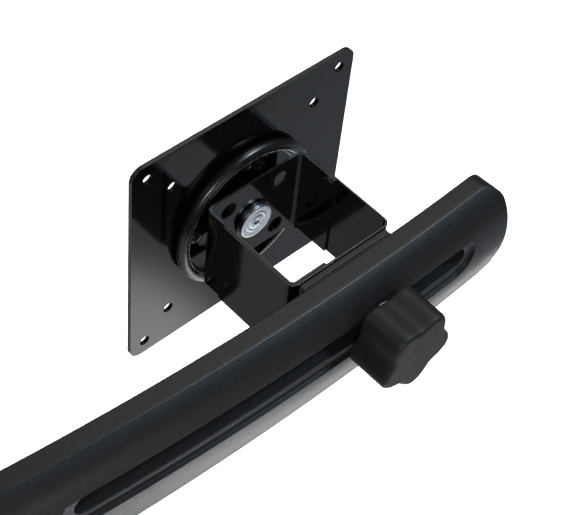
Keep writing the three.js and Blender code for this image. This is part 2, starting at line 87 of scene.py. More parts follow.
WING = {
    "inner": -212.0, "tip": 77.5, "top": 18.3, "bottom": -35.0, "taper": 0.00055,
    "crest": 19.8, "crest_z": -7.6, "wall": 3.4, "foot_end": -166.0,
    "tip_round": 9.0, "end_fillet": 1.6, "brow_fillet": 1.0, "back_fillet": 0.7,
}
BROW = {"depth": 7.7, "slope": 32.0, "handle": 9.0}
CREST_HANDLE = {"up": 14.0, "down": 9.0}
HEEL = {"depth": 15.6, "slope": 13.5, "handle": 8.2, "radius": 4.0}
SLOT = {"left": -140.5, "right": 50.6, "half": 5.25}
TRACK = {"ledge": 4.9, "floor": 18.1}
LIP_FILLET = 0.55
BOSS_WALL = 3.2
RIB = {"thickness": 2.4, "places": [-150, -118, -86, -54, -22, 10, 42]}
FOOT_SCREW = {"u": -186.0, "z": [8.0, -22.0], "hole": 3.3, "depth": 11.0}

LUG = {"end": -170.0, "front": 0.1, "back": 8.1, "low": -28.0, "high": 14.0, "corner": 8.0}
HUB_BORE = 19.8
BUSH = {"bore": 17.7, "outer": 19.7, "flange": 1.4}
COLLAR = {"bore": 17.6, "slit": 3.0, "ear": 9.0, "screw": (0.0, -32.1, 7.0)}
FOOT_SCREW_SIZE = (5.0, 5.6, 3.0, 2.5, 1.0)      # head radius, head height, shank, socket, pitch
COLLAR_SCREW = (4.25, 5.0, 2.5, 2.0, 0.8)

SHEET = 1.0
SHEET_GAP = 0.1
EDGE_BREAK = 0.22
BOX = {"half": 24.7, "depth": 48.1, "height": 44.0, "bend": 1.6}

KNOB = {
    "radius": 17.0, "lobe": 1.9, "lobes": 5, "turn": 0.96, "edge": 2.2, "back_edge": 1.5, "neck_height": 1.0,
}
INSERT = {"flange_thickness": 2.0, "hex": 6.4}
FIT_GAP = 0.3

FLOOR_DROP = 400.0               # the floor below the arm's lowest point


def mm(*values):
    return Vector(values) * MM


# ---------------------------------------------------------------- mesh helpers

def mesh_object(name, verts, faces):
    mesh = bpy.data.meshes.new(name)
    mesh.from_pydata([Vector(v) * MM for v in verts], [], faces)
    mesh.validate()
    piece = bpy.data.objects.new(name, mesh)
    bpy.context.scene.collection.objects.link(piece)
    return piece


def recalc_outward(piece):
    work = bmesh.new()
    work.from_mesh(piece.data)
    bmesh.ops.remove_doubles(work, verts=work.verts, dist=1e-7)
    bmesh.ops.recalc_face_normals(work, faces=work.faces)
    work.to_mesh(piece.data)
    work.free()
    return piece


def smooth(piece, angle=32.0):
    """Shades a piece smoothly, with its flat faces kept flat."""
    for polygon in piece.data.polygons:
        polygon.use_smooth = True
    piece.data.set_sharp_from_angle(angle=math.radians(angle))
    step = piece.modifiers.new("normals", "WEIGHTED_NORMAL")
    step.mode = "FACE_AREA"
    step.weight = 100
    step.keep_sharp = True
    return apply_modifiers(piece)


def apply_modifiers(piece):
    graph = bpy.context.evaluated_depsgraph_get()
    mesh = bpy.data.meshes.new_from_object(piece.evaluated_get(graph))
    old = piece.data
    piece.modifiers.clear()
    piece.data = mesh
    bpy.data.meshes.remove(old)
    return piece


def boolean(piece, operation, *tools):
    for tool in tools:
        step = piece.modifiers.new(operation, "BOOLEAN")
        step.operation = operation
        step.solver = "MANIFOLD"
        step.object = tool
    apply_modifiers(piece)
    for tool in tools:
        bpy.data.objects.remove(tool)
    return piece


def bevel(piece, width, segments=3, angle=40.0):
    step = piece.modifiers.new("edges", "BEVEL")
    step.width = width * MM
    step.segments = segments
    step.limit_method = "ANGLE"
    step.angle_limit = math.radians(angle)
    step.miter_outer = "MITER_ARC"
    return apply_modifiers(piece)


def loft(name, rings, closed_ends=True):
    """Joins rings of equal length into one closed skin."""
    count = len(rings[0])
    verts = [point for ring in rings for point in ring]
    faces = []
    for i in range(len(rings) - 1):
        for k in range(count):
            a, b = i * count + k, i * count + (k + 1) % count
            faces.append((a, b, b + count, a + count))
    if closed_ends:
        faces.append(tuple(reversed(range(count))))
        faces.append(tuple(range((len(rings) - 1) * count, len(rings) * count)))
    return recalc_outward(mesh_object(name, verts, faces))


def lathe(name, profile, place, segments=96):
    """Turns [radius, height] points about an axis; place puts a point (x, y, height) in the frame."""
    verts, faces, rows = [], [], []
    for radius, height in profile:
        if radius < 1e-6:
            rows.append([len(verts)])
            verts.append(place(0, 0, height))
            continue
        rows.append(list(range(len(verts), len(verts) + segments)))
        for k in range(segments):
            angle = 2 * math.pi * k / segments
            verts.append(place(radius * math.cos(angle), radius * math.sin(angle), height))
    closed = profile[0][0] > 0 and profile[-1][0] > 0
    pairs = list(zip(rows, rows[1:])) + ([(rows[-1], rows[0])] if closed else [])
    for low, high in pairs:
        for k in range(segments):
            after = (k + 1) % segments
            corners = [low[k % len(low)], low[after % len(low)], high[after % len(high)], high[k % len(high)]]
            faces.append(tuple(dict.fromkeys(corners)))
    return recalc_outward(mesh_object(name, verts, faces))


def rounded(profile, radius, steps=4):
    """Rounds every corner of an open profile that lies off the axis."""
    points = [Vector(p) for p in profile]
    result = [points[0]]
    for before, here, after in zip(points, points[1:], points[2:]):
        back, on = before - here, after - here
        reach = min(radius, back.length * 0.45, on.length * 0.45)
        if reach < 1e-4 or abs(back.normalized().dot(on.normalized())) > 0.999:
            result.append(here)
            continue
        start, end = here + back.normalized() * reach, here + on.normalized() * reach
        for k in range(steps + 1):
            t = k / steps
            result.append(start * (1 - t) ** 2 + here * 2 * t * (1 - t) + end * t ** 2)
    result.append(points[-1])
    return [tuple(p) for p in result]


def thread(radius, start, end, pitch):
    """A profile of ring grooves, which stand for a fine thread."""
    points = []
    deep = 0.6 * pitch
    for k in range(int((end - start) / pitch)):
        base = start + k * pitch
        points += [(radius, base), (radius, base + 0.12 * pitch), (radius - deep, base + 0.48 * pitch),
                   (radius - deep, base + 0.6 * pitch), (radius, base + 0.96 * pitch)]
    return points


def along_minus_y(x0, y0, z0):
    """Height runs towards the knob's side."""
    return lambda x, y, h: (x0 + x, y0 - h, z0 + y)


def upright(x0, y0, z0):
    return lambda x, y, h: (x0 + x, y0 + y, z0 + h)


def along_x(x0, y0, z0):
    return lambda x, y, h: (x0 + h, y0 + x, z0 + y)


def box_piece(name, low, high):
    verts = [(x, y, z) for x in (low[0], high[0]) for y in (low[1], high[1]) for z in (low[2], high[2])]
    faces = [(0, 1, 3, 2), (4, 6, 7, 5), (0, 4, 5, 1), (2, 3, 7, 6), (0, 2, 6, 4), (1, 5, 7, 3)]
    return recalc_outward(mesh_object(name, verts, faces))


def finish_piece(piece, name, body, slot, material, *nodes):
    piece.name = name
    piece.data.name = name
    piece.data.materials.clear()
    piece.data.materials.append(material)
    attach(piece, body)
    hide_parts(*nodes)
    return piece


def paint_highlight_faces(piece, material, is_highlit):
    """Gives a second, lighter finish, a painted highlight, to the faces whose middle and direction is_highlit
    picks.
    """
    piece.data.materials.append(material)
    for polygon in piece.data.polygons:
        if is_highlit(polygon.center / MM, polygon.normal):
            polygon.material_index = 1
    return piece


# ---------------------------------------------------------------- materials

class Look:
    """One procedural material: a principled shader with its own grain, mottling and bump."""

    def __init__(self, name, colour, roughness, metallic=0.0):
        self.material = bpy.data.materials.new(name)
        self.material.use_nodes = True
        self.nodes = self.material.node_tree.nodes
        self.links = self.material.node_tree.links
        self.shader = self.nodes["Principled BSDF"]
        self.coordinates = self.nodes.new("ShaderNodeTexCoord").outputs["Object"]
        self.colour, self.roughness = colour, roughness
        self.set("Base Color", (*colour, 1.0))
        self.set("Roughness", roughness)
        self.set("Metallic", metallic)
        self.normal = None

    def set(self, socket, value):
        self.shader.inputs[socket].default_value = value

    def noise(self, scale, detail=3.0, stretch=None):
        source = self.coordinates
        if stretch:
            mapping = self.nodes.new("ShaderNodeMapping")
            mapping.inputs["Scale"].default_value = stretch
            self.links.new(source, mapping.inputs["Vector"])
            source = mapping.outputs["Vector"]
        node = self.nodes.new("ShaderNodeTexNoise")
        node.inputs["Scale"].default_value = scale
        node.inputs["Detail"].default_value = detail
        self.links.new(source, node.inputs["Vector"])
        return node.outputs["Fac"]

    def mapped(self, source, low, high, start=0.3, end=0.7):
        node = self.nodes.new("ShaderNodeMapRange")
        node.inputs["From Min"].default_value = start
        node.inputs["From Max"].default_value = end
        node.inputs["To Min"].default_value = low
        node.inputs["To Max"].default_value = high
        self.links.new(source, node.inputs["Value"])
        return node.outputs["Result"]

    def vary_roughness(self, scale, spread, detail=3.0, stretch=None):
        low, high = self.roughness - spread, self.roughness + spread
        spots = self.noise(scale, detail, stretch)
        self.links.new(self.mapped(spots, low, high), self.shader.inputs["Roughness"])
        return self

    def vary_colour(self, scale, other, start=0.35, end=0.65, detail=3.0):
        node = self.nodes.new("ShaderNodeMix")
        node.data_type = "RGBA"
        node.inputs["A"].default_value = (*self.colour, 1.0)
        node.inputs["B"].default_value = (*other, 1.0)
        self.links.new(self.mapped(self.noise(scale, detail), 0.0, 1.0, start, end), node.inputs["Factor"])
        self.links.new(node.outputs["Result"], self.shader.inputs["Base Color"])
        return self

    def bump(self, scale, depth_mm, detail=2.0, stretch=None):
        node = self.nodes.new("ShaderNodeBump")
        node.inputs["Strength"].default_value = 1.0
        node.inputs["Distance"].default_value = depth_mm * MM
        self.links.new(self.noise(scale, detail, stretch), node.inputs["Height"])
        if self.normal:
            self.links.new(self.normal, node.inputs["Normal"])
        self.normal = node.outputs["Normal"]
        self.links.new(self.normal, self.shader.inputs["Normal"])
        return self


def powder_coat():
    """Fine-textured satin black powder coat."""
    look = Look("satin powder coat", (0.019, 0.0193, 0.0197), 0.4)
    look.set("Specular IOR Level", 0.5)
    look.vary_colour(2600.0, (0.04, 0.04, 0.0405), 0.45, 0.75)
    look.vary_roughness(900.0, 0.06)
    look.bump(1500.0, 0.05).bump(420.0, 0.02)
    return look.material


def gloss_enamel():
    """Black enamel on sheet steel, with a faint orange peel and dust in the coat."""
    look = Look("gloss enamel", (0.0016, 0.0017, 0.0018), 0.09)
    look.set("Specular IOR Level", 0.42)
    look.vary_roughness(160.0, 0.02)
    look.vary_colour(1800.0, (0.006, 0.006, 0.0065), 0.62, 0.75)
    look.bump(260.0, 0.006).bump(1800.0, 0.0006)
    return look.material


def edge_highlight_enamel():
    """A lighter, rougher enamel for the sheets' cut edges and hole walls; its lighter colour is a painted
    highlight.
    """
    look = Look("enamel with painted edge highlight", (0.016, 0.0155, 0.0145), 0.3)
    look.set("Specular IOR Level", 0.7)
    look.vary_roughness(900.0, 0.06)
    look.vary_colour(700.0, (0.026, 0.025, 0.023))
    look.bump(900.0, 0.012)
    return look.material


def bead_highlight_enamel():
    """A softer, slightly lighter gloss for the dish's rolled bead; its lighter colour is a painted highlight.
    """
    look = Look("enamel with painted bead highlight", (0.012, 0.012, 0.0115), 0.27)
    look.set("Specular IOR Level", 0.85)
    look.vary_roughness(700.0, 0.04)
    return look.material


def soft_rubber():
    look = Look("soft touch rubber", (0.0185, 0.0185, 0.0175), 0.5)
    look.vary_colour(900.0, (0.026, 0.026, 0.025), 0.4, 0.7)
    look.vary_roughness(300.0, 0.05)
    look.bump(2200.0, 0.02).bump(240.0, 0.015)
    return look.material


def zinc_plate():
    look = Look("zinc plate", (0.74, 0.79, 0.82), 0.38, 1.0)
    look.vary_colour(500.0, (0.64, 0.69, 0.72))
    look.vary_roughness(420.0, 0.05)
    look.bump(1400.0, 0.003)
    return look.material


def dark_steel():
    look = Look("black oxide steel", (0.05, 0.05, 0.055), 0.28, 0.85)
    look.vary_colour(600.0, (0.085, 0.085, 0.09))
    look.vary_roughness(500.0, 0.08)
    look.bump(1200.0, 0.006)
    return look.material


def nylon(name, colour, other):
    look = Look(name, colour, 0.5)
    look.vary_colour(300.0, other)
    look.vary_roughness(260.0, 0.05)
    look.bump(1700.0, 0.012)
    return look.material


def machined_brass():
    look = Look("machined brass", (0.52, 0.36, 0.13), 0.24, 1.0)
    look.vary_colour(420.0, (0.42, 0.29, 0.1))
    look.vary_roughness(600.0, 0.08)
    look.bump(1500.0, 0.006)
    return look.material


POWDER = powder_coat()
ENAMEL = gloss_enamel()
# The next two enamels are lighter than the plate's enamel: painted highlights on the sheet edges and on the
# dish's bead.
EDGE_HIGHLIGHT_ENAMEL = edge_highlight_enamel()
BEAD_HIGHLIGHT_ENAMEL = bead_highlight_enamel()
RUBBER = soft_rubber()
ZINC = zinc_plate()
STEEL = dark_steel()
BLACK_NYLON = nylon("black nylon", (0.014, 0.014, 0.014), (0.02, 0.02, 0.02))
WHITE_NYLON = nylon("natural nylon", (0.72, 0.7, 0.65), (0.66, 0.64, 0.58))
BRASS = machined_brass()


# ---------------------------------------------------------------- wing

def on_wing(u, depth, z):
    """A point at arc length u from the head, depth in front of the back plane, z from the slot's middle."""
    angle = u / ARC_RADIUS
    radius = ARC_RADIUS + depth
    return (HEAD_X + radius * math.sin(angle), ARC_CENTRE.y - radius * math.cos(angle), SLOT_Z + z)


def bezier(a, b, c, d, steps):
    points = []
    for i in range(steps + 1):
        t = i / steps
        s = 1 - t
        points.append(tuple(
            a[k] * s ** 3 + 3 * b[k] * s * s * t + 3 * c[k] * s * t * t + d[k] * t ** 3 for k in (0, 1)
        ))
    return points


def crown():
    """The wing's front as (depth, z) points, from the brow down to the bottom."""
    slope = math.radians(BROW["slope"])
    lean = math.radians(HEEL["slope"])
    heel_z = WING["bottom"] + HEEL["radius"]
    crest = (WING["crest"], WING["crest_z"])
    upper = bezier(
        (BROW["depth"], WING["top"]),
        (BROW["depth"] + BROW["handle"] * math.cos(slope), WING["top"] - BROW["handle"] * math.sin(slope)),
        (crest[0], crest[1] + CREST_HANDLE["up"]), crest, 60,
    )
    lower = bezier(
        crest, (crest[0], crest[1] - CREST_HANDLE["down"]),
        (HEEL["depth"] + HEEL["handle"] * math.sin(lean), heel_z + HEEL["handle"] * math.cos(lean)),
        (HEEL["depth"], heel_z), 40,
    )
    return upper + lower[1:]


CROWN = crown()


def crown_depth(z):
    for (d0, z0), (d1, z1) in zip(CROWN, CROWN[1:]):
        if z >= z1:
            share = min(1.0, (z0 - z) / (z0 - z1)) if z < z0 else 0.0
            return d0 + (d1 - d0) * share
    return CROWN[-1][0]


def corner_drop(u):
    """How far the outline has fallen in from its full height, near the rounded tip."""
    radius = WING["tip_round"]
    into = u - (WING["tip"] - radius)
    if into <= 0:
        return 0.0
    return radius - math.sqrt(max(0.0, radius * radius - into * into))


def wing_ring(u, inset=0.0):
    """One closed section of the wing's outside, as places in the frame."""
    stretch = 1 - WING["taper"] * u
    drop = corner_drop(u)
    top = WING["top"] - drop
    bottom = WING["bottom"] * stretch + drop
    brow, back, heel = WING["brow_fillet"], WING["back_fillet"], HEEL["radius"]
    front = []
    high, low = top - brow * 0.5, bottom + heel
    for i in range(49):
        t = i / 48
        z = high + (low - high) * (t + 0.09 * math.sin(2 * math.pi * t) * -1)
        front.append((crown_depth(z if z > 0 else z / stretch), z))
    edge = front[0][0]
    round_in = [
        ((1 - t) ** 2 * (edge - 2.2 * brow) + 2 * t * (1 - t) * (edge - 0.5 * brow) + t * t * edge,
         (1 - t) ** 2 * top + 2 * t * (1 - t) * top + t * t * front[0][1])
        for t in (0.0, 0.2, 0.4, 0.6, 0.8)
    ]
    last = front[-1][0]
    round_out = [
        (last - heel * (1 - math.cos(a)), low - heel * math.sin(a))
        for a in [math.radians(15 * k) for k in range(1, 7)]
    ]
    ease = [math.radians(22.5 * k) for k in range(5)]
    back_low = [(back * (1 - math.sin(a)), bottom + back * (1 - math.cos(a))) for a in ease]
    back_high = [(back * (1 - math.cos(a)), top - back * (1 - math.sin(a))) for a in ease]
    outline = round_in + front + round_out + back_low + back_high
    centre = (9.0, (top + bottom) / 2)
    if inset:
        outline = [shrink(point, centre, inset) for point in outline]
    return [on_wing(u, depth, z) for depth, z in outline]


def shrink(point, centre, inset):
    """Moves a point of the outline in by inset, along each axis."""
    move = lambda value, middle, most: value + max(-inset, min(inset, (middle - value) * most))
    return (move(point[0], centre[0], 1.0), move(point[1], centre[1], 1.0))


def spread(start, end, step):
    count = max(1, math.ceil((end - start) / step))
    return [start + (end - start) * i / count for i in range(count + 1)]


def wing_body():
    fillet, tip = WING["end_fillet"], WING["tip"]
    stations = [(u, 0.0) for u in spread(WING["inner"], tip - WING["tip_round"], 3.0)]
    stations += [(u, 0.0) for u in spread(tip - WING["tip_round"], tip - fillet, 0.6)[1:]]
    for k in range(1, 7):
        angle = math.radians(15 * k)
        stations.append((tip - fillet + fillet * math.sin(angle), fillet * (1 - math.cos(angle))))
    return loft("wing", [wing_ring(u, inset) for u, inset in stations])


def racetrack(offset, side_step=3.0, turns=20):
    """Points round the slot's outline, grown by offset, as (u, z)."""
    start, end = SLOT["left"] + SLOT["half"], SLOT["right"] - SLOT["half"]
    radius = SLOT["half"] + offset
    places = [(u, 0.0, -1.0) for u in spread(start, end, side_step)]
    outline = [(u, -radius) for u, _, _ in places]
    outline += [
        (end + radius * math.cos(a), radius * math.sin(a))
        for a in [math.radians(-90 + 180 * k / turns) for k in range(1, turns)]
    ]
    outline += [(u, radius) for u, _, _ in reversed(places)]
    outline += [
        (start + radius * math.cos(a), radius * math.sin(a))
        for a in [math.radians(90 + 180 * k / turns) for k in range(1, turns)]
    ]
    return outline


def slot_cutter():
    """The through slot, its rounded lips, the sunk track and the track's eased rim, as one tool."""
    floor, ledge, lip = TRACK["floor"], TRACK["ledge"], LIP_FILLET
    quarter = [math.radians(15 * k) for k in range(7)]
    levels = [(0.0, -3.0), (0.0, floor - lip)]
    levels += [(lip * (1 - math.cos(a)), floor - lip + lip * math.sin(a)) for a in quarter[1:]]
    sweep = 0.45
    levels += [(ledge - sweep, floor)]
    levels += [(ledge - sweep + sweep * math.sin(a), floor + sweep * (1 - math.cos(a))) for a in quarter[1:]]
    rings = [[on_wing(u, depth, z) for u, z in racetrack(offset)] for offset, depth in levels]
    ease = 0.5
    for angle in quarter[1:]:
        offset = ledge + ease * (1 - math.cos(angle))
        ring = []
        for u, z in racetrack(offset):
            surface = crown_depth(z)
            rise = max(surface - floor, 0.46)
            ring.append(on_wing(u, floor + max(0.46, rise - ease * (1 - math.sin(angle))), z))
        rings.append(ring)
    rings.append([on_wing(u, 26.0, z) for u, z in racetrack(ledge + ease)])
    return loft("slot cutter", rings)


def bent_box(name, u0, u1, d0, d1, z0, z1, step=4.0):
    rings = []
    for u in spread(u0, u1, step):
        rings.append([on_wing(u, d, z) for d, z in ((d0, z0), (d0, z1), (d1, z1), (d1, z0))])
    return loft(name, rings)


def slot_shape(name, offset, d0, d1):
    rings = [[on_wing(u, d, z) for u, z in racetrack(offset)] for d in (d0, d1)]
    return loft(name, rings)


def wing_pocket():
    """The room in the wing's open back, round the slot's boss and between the ribs."""
    wall = WING["wall"]
    rings = []
    for u in spread(WING["foot_end"], WING["tip"] - wall, 4.0):
        stretch = 1 - WING["taper"] * u
        drop = corner_drop(u + wall)
        top, bottom = WING["top"] - wall - drop, WING["bottom"] * stretch + wall + drop
        outline = [(-1.0, bottom), (-1.0, top)]
        for i in range(13):
            z = top - 0.4 + (bottom + 1.5 - top + 0.4) * i / 12
            depth = crown_depth((z + wall * 0.6) if z > 0 else z / stretch)
            outline.append((max(2.0, depth - wall), z))
        outline.append((outline[-1][0] - 1.5, bottom))
        rings.append([on_wing(u, d, z) for d, z in outline])
    pocket = loft("pocket", rings)
    half = RIB["thickness"] / 2
    ribs = [bent_box(f"rib {u}", u - half, u + half, 2.0, 30.0, -45.0, 25.0) for u in RIB["places"]]
    return boolean(pocket, "DIFFERENCE", slot_shape("boss", BOSS_WALL, -4.0, 30.0), *ribs)


def foot_hole(z, start, end):
    radius = FOOT_SCREW["hole"]
    return lathe(
        "hole", [(0, start), (radius, start), (radius, end), (0, end)],
        lambda x, y, h: on_wing(FOOT_SCREW["u"] + x, h, z + y), 40,
    )


def make_wing():
    wing = wing_body()
    holes = [foot_hole(z, -1, FOOT_SCREW["depth"]) for z in FOOT_SCREW["z"]]
    boolean(wing, "DIFFERENCE", wing_pocket(), slot_cutter(), *holes)
    smooth(wing, 34.0)
    return finish_piece(wing, "wing_casting", "wing", "satin_black", POWDER, "wing_bar")


make_wing()

# ---------------------------------------------------------------- box bracket

PLATE_X, PLATE_Y, PLATE_Z = PLATE_FACE
RIVET_CIRCLE = 25.5
RIVET_HOLE = 1.8
RIVETS = [
    (RIVET_CIRCLE * math.cos(math.pi / 2 * k), RIVET_CIRCLE * math.sin(math.pi / 2 * k)) for k in range(4)
]
INNER_LOW, INNER_HIGH = box_mm("bracket_inner_strap")
OUTER_LOW, OUTER_HIGH = box_mm("bracket_outer_strap")
BACK_WALL_FRONT = INNER_HIGH.y - SHEET
ARM_WALL_INNER = BACK_WALL_FRONT - BOX["depth"]


def strap(name, path, bend, low_z, high_z):
    """A strip of sheet bent along a path of corners, with the sheet outside the path."""
    inside, outside = [], []
    points = [Vector(p) for p in path]
    right = lambda way: Vector((way.y, -way.x))
    first = (points[1] - points[0]).normalized()
    inside.append(points[0])
    outside.append(points[0] + right(first) * SHEET)
    for before, here, after in zip(points, points[1:], points[2:]):
        way_in, way_out = (here - before).normalized(), (after - here).normalized()
        centre = here - way_in * bend + way_out * bend
        for k in range(13):
            a = math.radians(7.5 * k)
            spoke = way_in * math.sin(a) - way_out * math.cos(a)
            inside.append(centre + spoke * bend)
            outside.append(centre + spoke * (bend + SHEET))
    last = (points[-1] - points[-2]).normalized()
    inside.append(points[-1])
    outside.append(points[-1] + right(last) * SHEET)
    rings = []
    for a, b in zip(inside, outside):
        rings.append([(a.x, a.y, low_z), (a.x, a.y, high_z), (b.x, b.y, high_z), (b.x, b.y, low_z)])
    return loft(name, rings)


def round_cutter(x, z, radius, y0, y1):
    depth = y1 - y0
    return lathe("cutter", [(0, 0), (radius, 0), (radius, depth), (0, depth)], along_minus_y(x, y1, z), 64)


def make_inner_strap():
    half = BOX["half"]
    path = [
        (PLATE_X + half, BACK_WALL_FRONT - 20.0), (PLATE_X + half, BACK_WALL_FRONT),
        (PLATE_X - half, BACK_WALL_FRONT), (PLATE_X - half, ARM_WALL_INNER), (PLATE_X - 8.0, ARM_WALL_INNER),
    ]
    piece = strap("inner strap", path, BOX["bend"], INNER_LOW.z, INNER_HIGH.z)
    holes = [(14.0 * sx, 14.0 * sz, 4.0) for sx in (-1, 1) for sz in (-1, 1)] + [(0.0, 0.0, 5.8)]
    wall = (BACK_WALL_FRONT - 2, BACK_WALL_FRONT + SHEET + 2)
    boolean(piece, "DIFFERENCE", *[round_cutter(PLATE_X + x, PLATE_Z + z, r, *wall) for x, z, r in holes])
    smooth(bevel(piece, EDGE_BREAK), 30.0)
    finish_piece(piece, "inner_strap", "carriage", "gloss_black", ENAMEL, "bracket_inner_strap")
    wall_middle = BACK_WALL_FRONT + SHEET / 2
    # The top edges and the back wall's hole walls get the lighter enamel: a painted highlight.
    return paint_highlight_faces(piece, EDGE_HIGHLIGHT_ENAMEL, lambda middle, way: (
        abs(way.z) > 0.3 and middle.z > PLATE_Z + 20
        or abs(way.y) < 0.9 and abs(middle.y - wall_middle) < 0.6 and abs(middle.x - PLATE_X) < 20))


def make_outer_strap():
    half = BOX["half"] + SHEET + SHEET_GAP
    face = ARM_WALL_INNER - SHEET - SHEET_GAP
    path = [
        (PLATE_X - half, OUTER_HIGH.y - 9.1), (PLATE_X - half, face),
        (PLATE_X + half, face), (PLATE_X + half, OUTER_HIGH.y),
    ]
    piece = strap("outer strap", path, BOX["bend"] + SHEET, OUTER_LOW.z, OUTER_HIGH.z)
    neck = 4.4
    square = box_piece(
        "square", (HEAD_X - neck, face - 4, SLOT_Z - neck), (HEAD_X + neck, face + 4, SLOT_Z + neck),
    )
    boolean(piece, "DIFFERENCE", square)
    smooth(bevel(piece, EDGE_BREAK), 30.0)
    finish_piece(piece, "outer_strap", "carriage", "gloss_black", ENAMEL, "bracket_outer_strap")
    # The top edges get the lighter enamel: a painted highlight.
    return paint_highlight_faces(piece, EDGE_HIGHLIGHT_ENAMEL, lambda middle, way: abs(way.z) > 0.3 and middle.z > PLATE_Z + 20)


make_inner_strap()
make_outer_strap()


# ---------------------------------------------------------------- plate, dish and pivot

def rounded_square(half, radius, steps=12):
    flat = half - radius
    outline = []
    for quarter, (cx, cz) in enumerate([(flat, flat), (-flat, flat), (-flat, -flat), (flat, -flat)]):
        for k in range(steps + 1):
            a = math.radians(90 * (quarter + k / steps))
            outline.append((cx + radius * math.cos(a), cz + radius * math.sin(a)))
    return outline


def make_plate():
    low, high = box_mm("vesa_plate")
    outline = rounded_square((high.x - low.x) / 2, 6.0)
    rings = [[(PLATE_X + x, y, PLATE_Z + z) for x, z in outline] for y in (low.y, high.y)]
    plate = loft("plate", rings)
    holes = [(p / 2 * sx, p / 2 * sz, 2.5) for p in (100, 75) for sx in (-1, 1) for sz in (-1, 1)]
    holes += [(x, z, RIVET_HOLE) for x, z in RIVETS]
    holes.append((0.0, 0.0, 4.3))
    boolean(plate, "DIFFERENCE", *[
        round_cutter(PLATE_X + x, PLATE_Z + z, r, low.y - 2, high.y + 2) for x, z, r in holes
    ])
    smooth(bevel(plate, 0.3), 30.0)
    finish_piece(plate, "head_plate", "plate", "gloss_black", ENAMEL, "vesa_plate")
    side = (high.x - low.x) / 2 - 1.5
    # The plate's cut edges get the lighter enamel: a painted highlight.
    return paint_highlight_faces(plate, EDGE_HIGHLIGHT_ENAMEL, lambda middle, way: abs(way.y) < 0.8 and max(
        abs(middle.x - PLATE_X), abs(middle.z - PLATE_Z)) > side)


def make_dish():
    bead, rim = 2.75, 36.0
    centre = (rim - bead, 0.1 + bead)
    floor = 1.2
    start, end = -90.0, 180 + math.degrees(math.asin((centre[1] - floor - 1.0) / bead))
    profile = [(8.0, 0.1)]
    for i in range(41):
        a = math.radians(start + (end - start) * i / 40)
        profile.append((centre[0] + bead * math.cos(a), centre[1] + bead * math.sin(a)))
    foot = profile[-1]
    profile += [(foot[0] - 0.35, floor + 0.45), (foot[0] - 0.9, floor + 0.12), (foot[0] - 1.6, floor)]
    profile += [(9.0, floor), (8.2, floor - 0.1), (8.0, floor - 0.3)]
    dish = lathe("dish", profile, along_minus_y(PLATE_X, PLATE_Y, PLATE_Z), 160)
    holes = [
        round_cutter(PLATE_X + x, PLATE_Z + z, RIVET_HOLE, PLATE_Y - 2.0, PLATE_Y + 1.0) for x, z in RIVETS
    ]
    boolean(dish, "DIFFERENCE", *holes)
    smooth(dish, 34.0)
    dish = finish_piece(dish, "dish", "plate", "gloss_black", ENAMEL, "swivel_dish")
    # The rolled bead gets the lighter, softer enamel: a painted highlight.
    return paint_highlight_faces(dish, BEAD_HIGHLIGHT_ENAMEL, lambda middle, way: math.hypot(
        middle.x - PLATE_X, middle.z - PLATE_Z,
    ) > centre[0] - 1.0)


def make_rivets():
    arc = [math.radians(a) for a in range(0, 90, 10)]
    dome = [(2.7 * math.cos(a), 1.3 + 1.3 * math.sin(a)) for a in arc]
    profile = [(0, -1.8), (1.5, -1.8), (1.5, 1.3), (2.6, 1.3)] + dome
    profile += [(0.5, 2.52), (0.3, 2.35), (0, 2.3)]
    for k, (x, z) in enumerate(RIVETS):
        rivet = lathe("rivet", profile, along_minus_y(PLATE_X + x, PLATE_Y, PLATE_Z + z), 40)
        smooth(rivet, 40.0)
        finish_piece(rivet, f"rivet_{k + 1}", "plate", "dark_steel", STEEL, f"dish_rivet_{k + 1}")


def make_stud():
    low, _ = box_mm("pivot_stud")
    face = PLATE_Y - low.y
    seat = face - 1.7
    profile = rounded([
        (0, -2.0), (4.0, -2.0), (4.0, seat), (8.3, seat), (8.3, face - 0.15), (7.9, face), (6.1, face),
    ], 0.25) + [
        (5.9, face - 0.09), (5.6, face - 0.09), (5.4, face), (4.2, face), (4.0, face - 0.1),
        (3.7, face - 0.1), (3.5, face), (1.6, face), (1.2, face - 0.35), (0.5, face - 0.55), (0, face - 0.6),
    ]
    stud = lathe("stud", profile, along_minus_y(PLATE_X, PLATE_Y, PLATE_Z), 96)
    marks = []
    for k in range(4):
        a = math.radians(40 + 90 * k)
        x, z = PLATE_X + 2.6 * math.cos(a), PLATE_Z + 2.6 * math.sin(a)
        marks.append(lathe(
            "mark", [(0, face - 0.3), (0.32, face - 0.25), (0.5, face + 0.3), (0, face + 0.3)],
            along_minus_y(x, PLATE_Y, z), 20,
        ))
    boolean(stud, "DIFFERENCE", *marks)
    smooth(stud, 32.0)
    return finish_piece(stud, "stud", "plate", "zinc", ZINC, "pivot_stud")


def make_round(name, node, body, slot, material, profile, place, edge=0.2, angle=32.0, segments=96):
    """A turned piece with broken edges; its profile is a closed loop or runs from axis to axis."""
    closed = profile[0][0] > 0
    loop = list(profile) + ([profile[0], profile[1]] if closed else [])
    outline = rounded(loop, edge)
    if closed:
        outline = outline[1:-1]
    piece = lathe(name, outline, place, segments)
    smooth(piece, angle)
    return finish_piece(piece, name, body, slot, material, node)


def make_pivot_rings():
    low, high = box_mm("pivot_washer")
    near, far = PLATE_Y - high.y, PLATE_Y - low.y
    place = along_minus_y(PLATE_X, PLATE_Y, PLATE_Z)
    make_round("washer_under_stud", "pivot_washer", "plate", "dark_steel", STEEL,
               [(4.3, near), (9.2, near), (9.2, far), (4.3, far)], place, 0.18)
    low, high = box_mm("pivot_spacer")
    near, far = PLATE_Y - high.y, PLATE_Y - low.y
    wall = PLATE_Y - INNER_HIGH.y - 0.1
    make_round("spacer", "pivot_spacer", "carriage", "nylon", BLACK_NYLON,
               [(4.1, near), (13.0, near), (13.0, wall), (5.7, wall), (5.7, far), (4.1, far)], place, 0.25)


make_plate()
make_dish()
make_rivets()
make_stud()
make_pivot_rings()


# ---------------------------------------------------------------- slide block and clamp

